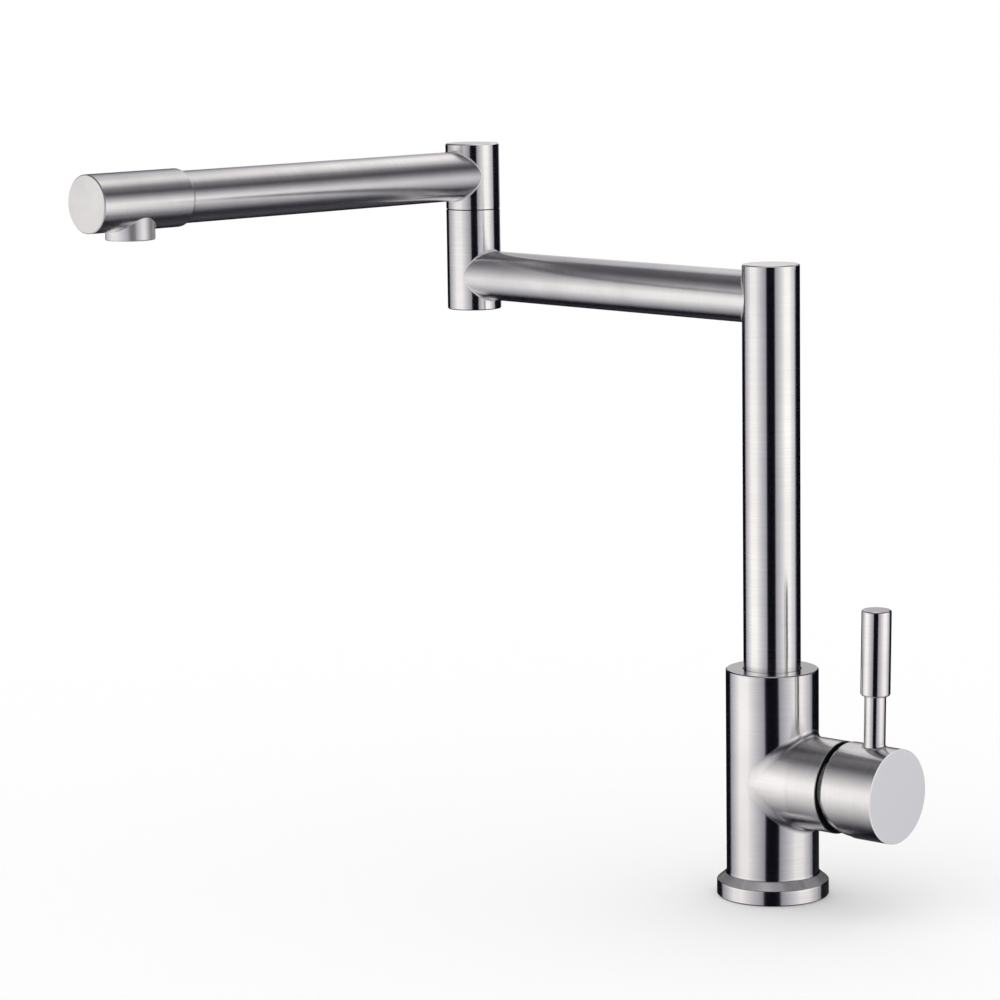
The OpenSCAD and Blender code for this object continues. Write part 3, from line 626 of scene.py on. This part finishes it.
def soft_panel(tree, place, studio, label, turn, rise, width, above, below, strength):
    """Light of one large soft panel on the tent. Angles are in radians.

    It is brightest at its middle, fades towards its sides and ends there in a plain edge."""
    link = tree.links.new
    turned = add_node(tree, "ShaderNodeMapping", label, vector_type="TEXTURE")
    turned.inputs["Location"].default_value = studio.tent_centre
    turned.inputs["Rotation"].default_value = (0, 0, turn)
    turned.inputs["Scale"].default_value = [studio.tent_radius] * 3
    parts = tree.nodes.new("ShaderNodeSeparateXYZ")
    link(place, turned.inputs["Vector"])
    link(turned.outputs["Vector"], parts.inputs["Vector"])
    compass = add_node(tree, "ShaderNodeMath", "Compass angle", operation="ARCTAN2")
    link(parts.outputs["Y"], compass.inputs[0])
    link(parts.outputs["X"], compass.inputs[1])
    sideways = add_node(tree, "ShaderNodeMath", "Angle to the side", operation="ABSOLUTE")
    link(compass.outputs[0], sideways.inputs[0])
    share = add_node(tree, "ShaderNodeMapRange", "Share of the half width")
    share.inputs["From Max"].default_value = width
    link(sideways.outputs[0], share.inputs["Value"])
    fade = add_node(tree, "ShaderNodeValToRGB", "Fade to the side")
    stops = fade.color_ramp.elements
    for spot, _ in PANEL_TONES[1:-1]:
        stops.new(spot)
    for stop, (spot, tone) in zip(stops, PANEL_TONES):
        stop.position = spot
        stop.color = (*tone, 1)
    link(share.outputs["Result"], fade.inputs["Fac"])
    upward = add_node(tree, "ShaderNodeMath", "Height angle", operation="ARCSINE")
    link(parts.outputs["Z"], upward.inputs[0])
    level = add_node(tree, "ShaderNodeMath", "From the middle", operation="SUBTRACT")
    link(upward.outputs[0], level.inputs[0])
    level.inputs[1].default_value = rise
    least = add_node(tree, "ShaderNodeMath", "Fade up and down", operation="MINIMUM")
    for index, reach in enumerate((above, -below)):
        fall = add_node(tree, "ShaderNodeMapRange", "Fade down" if index else "Fade up")
        fall.inputs["From Min"].default_value = reach * FULL_SHARE
        fall.inputs["From Max"].default_value = reach
        fall.inputs["To Min"].default_value = strength
        fall.inputs["To Max"].default_value = 0
        link(level.outputs[0], fall.inputs["Value"])
        link(fall.outputs["Result"], least.inputs[index])
    tint = add_node(tree, "ShaderNodeVectorMath", "Panel light", operation="SCALE")
    link(fade.outputs["Color"], tint.inputs[0])
    link(least.outputs[0], tint.inputs["Scale"])
    return tint.outputs["Vector"]


def make_tent(studio):
    """A round tent with soft panels about the faucet, which only the metal mirrors."""
    mesh = bmesh.new()
    bmesh.ops.create_uvsphere(mesh, u_segments=TENT_SEGMENTS, v_segments=TENT_RINGS,
                              radius=studio.tent_radius)
    bmesh.ops.translate(mesh, verts=mesh.verts, vec=studio.tent_centre)
    tent = piece_from(mesh, "light_tent")
    material = bpy.data.materials.new("tent_light")
    material.use_nodes = True
    material.cycles.emission_sampling = "NONE"
    tree = material.node_tree
    tree.nodes.clear()
    link = tree.links.new
    place = tree.nodes.new("ShaderNodeTexCoord").outputs["Object"]
    # Compass turn of the way from the faucet to the camera
    front = studio.camera_turn - math.pi / 2
    total = add_node(tree, "ShaderNodeVectorMath", "Dim tent", operation="ADD")
    total.inputs[0].default_value = DIM_LIGHT
    light = total.outputs["Vector"]
    for label, turn, rise, width, above, below, strength in PANELS:
        turn, rise, width, above, below = map(math.radians, (turn, rise, width, above, below))
        panel = soft_panel(tree, place, studio, label, front + turn, rise, width, above, below,
                           strength)
        total = add_node(tree, "ShaderNodeVectorMath", "With " + label.lower(), operation="ADD")
        link(light, total.inputs[0])
        link(panel, total.inputs[1])
        light = total.outputs["Vector"]
    parts = tree.nodes.new("ShaderNodeSeparateXYZ")
    bluer = add_node(tree, "ShaderNodeMath", "Bluer where dim", operation="POWER")
    whole = tree.nodes.new("ShaderNodeCombineXYZ")
    link(light, parts.inputs["Vector"])
    link(parts.outputs["Z"], bluer.inputs[0])
    bluer.inputs[1].default_value = studio.blue_power
    link(parts.outputs["X"], whole.inputs["X"])
    link(parts.outputs["Y"], whole.inputs["Y"])
    link(bluer.outputs[0], whole.inputs["Z"])
    glow = tree.nodes.new("ShaderNodeEmission")
    glow.inputs["Strength"].default_value = studio.panel_strength
    output = tree.nodes.new("ShaderNodeOutputMaterial")
    link(whole.outputs["Vector"], glow.inputs["Color"])
    link(glow.outputs["Emission"], output.inputs["Surface"])
    tent.data.materials.append(material)
    tent.visible_camera = tent.visible_diffuse = tent.visible_shadow = False


def make_world():
    """Plain white all round."""
    world = bpy.data.worlds.new("studio")
    bpy.context.scene.world = world
    world.use_nodes = True
    background = world.node_tree.nodes["Background"]
    background.inputs["Color"].default_value = WHITE
    background.inputs["Strength"].default_value = 1


def make_floor(studio):
    """A pale floor that keeps the soft shadow under the foot."""
    mesh = bmesh.new()
    bmesh.ops.create_grid(mesh, x_segments=1, y_segments=1, size=studio.floor_size / 2)
    bmesh.ops.translate(mesh, verts=mesh.verts, vec=(0, 0, -FLOOR_DROP))
    floor = piece_from(mesh, "floor")
    material, _, shader = new_material("pale_floor")
    shader.inputs["Base Color"].default_value = WHITE
    shader.inputs["Roughness"].default_value = 1
    shader.inputs["Specular IOR Level"].default_value = 0
    floor.data.materials.append(material)
    floor.visible_glossy = False


def make_camera(studio):
    """The camera at the photograph's viewing angle."""
    turn, pitch, roll = studio.camera_turn, studio.camera_pitch, studio.camera_roll
    level = Vector((math.cos(turn), math.sin(turn), 0))
    back = level.cross(UP) * math.cos(pitch) + UP * math.sin(pitch)
    upright = back.cross(level)
    right = level * math.cos(roll) + upright * math.sin(roll)
    up = upright * math.cos(roll) - level * math.sin(roll)
    target = UP * studio.target_height + level * studio.target_side
    data = bpy.data.cameras.new("camera")
    data.sensor_width = SENSOR_WIDTH
    data.lens = studio.lens
    data.clip_start, data.clip_end = CLIP_START, CLIP_END
    camera = bpy.data.objects.new("camera", data)
    place = Matrix((right, up, back)).transposed().to_4x4()
    place.translation = target + back * studio.camera_distance
    camera.matrix_world = place
    bpy.context.scene.collection.objects.link(camera)
    bpy.context.scene.camera = camera


class FAUCET_OT_stage(bpy.types.Operator):
    """Set up the floor, the studio light and the camera"""

    bl_idname = "faucet.stage"
    bl_label = "Studio"

    def execute(self, context):
        studio = context.scene.faucet_studio
        context.scene.view_settings.view_transform = "Standard"
        make_world()
        make_tent(studio)
        make_floor(studio)
        make_camera(studio)
        return {"FINISHED"}


GROUPS = {"faucet_metal": FaucetMetal, "faucet_welds": FaucetWelds, "faucet_studio": FaucetStudio}
OPERATORS = (FAUCET_OT_steel, FAUCET_OT_inner_parts, FAUCET_OT_body_fillet, FAUCET_OT_arm_welds,
             FAUCET_OT_nozzle_weld, FAUCET_OT_stem_fillet, FAUCET_OT_stage)


class FAUCET_PT_panel(bpy.types.Panel):
    """The faucet's pieces and sizes in the sidebar"""

    bl_label = "Faucet"
    bl_idname = "FAUCET_PT_panel"
    bl_space_type = "VIEW_3D"
    bl_region_type = "UI"
    bl_category = "Faucet"

    def draw(self, context):
        layout = self.layout
        for name in GROUPS:
            group = getattr(context.scene, name)
            box = layout.box()
            for key in group.__annotations__:
                box.prop(group, key)
        for operator in OPERATORS:
            layout.operator(operator.bl_idname)


def register():
    """Registers the groups, the operators and the panel."""
    for name, group in GROUPS.items():
        bpy.utils.register_class(group)
        setattr(bpy.types.Scene, name, PointerProperty(type=group))
    for entry in (*OPERATORS, FAUCET_PT_panel):
        bpy.utils.register_class(entry)


def unregister():
    """Takes back what register does."""
    for entry in (FAUCET_PT_panel, *reversed(OPERATORS)):
        bpy.utils.unregister_class(entry)
    for name, group in GROUPS.items():
        delattr(bpy.types.Scene, name)
        bpy.utils.unregister_class(group)


def main():
    register()
    bpy.ops.faucet.steel()
    bpy.ops.faucet.inner_parts()
    bpy.ops.faucet.body_fillet()
    bpy.ops.faucet.arm_welds()
    bpy.ops.faucet.nozzle_weld()
    bpy.ops.faucet.stem_fillet()
    bpy.ops.faucet.stage()


if __name__ == "__main__":
    main()
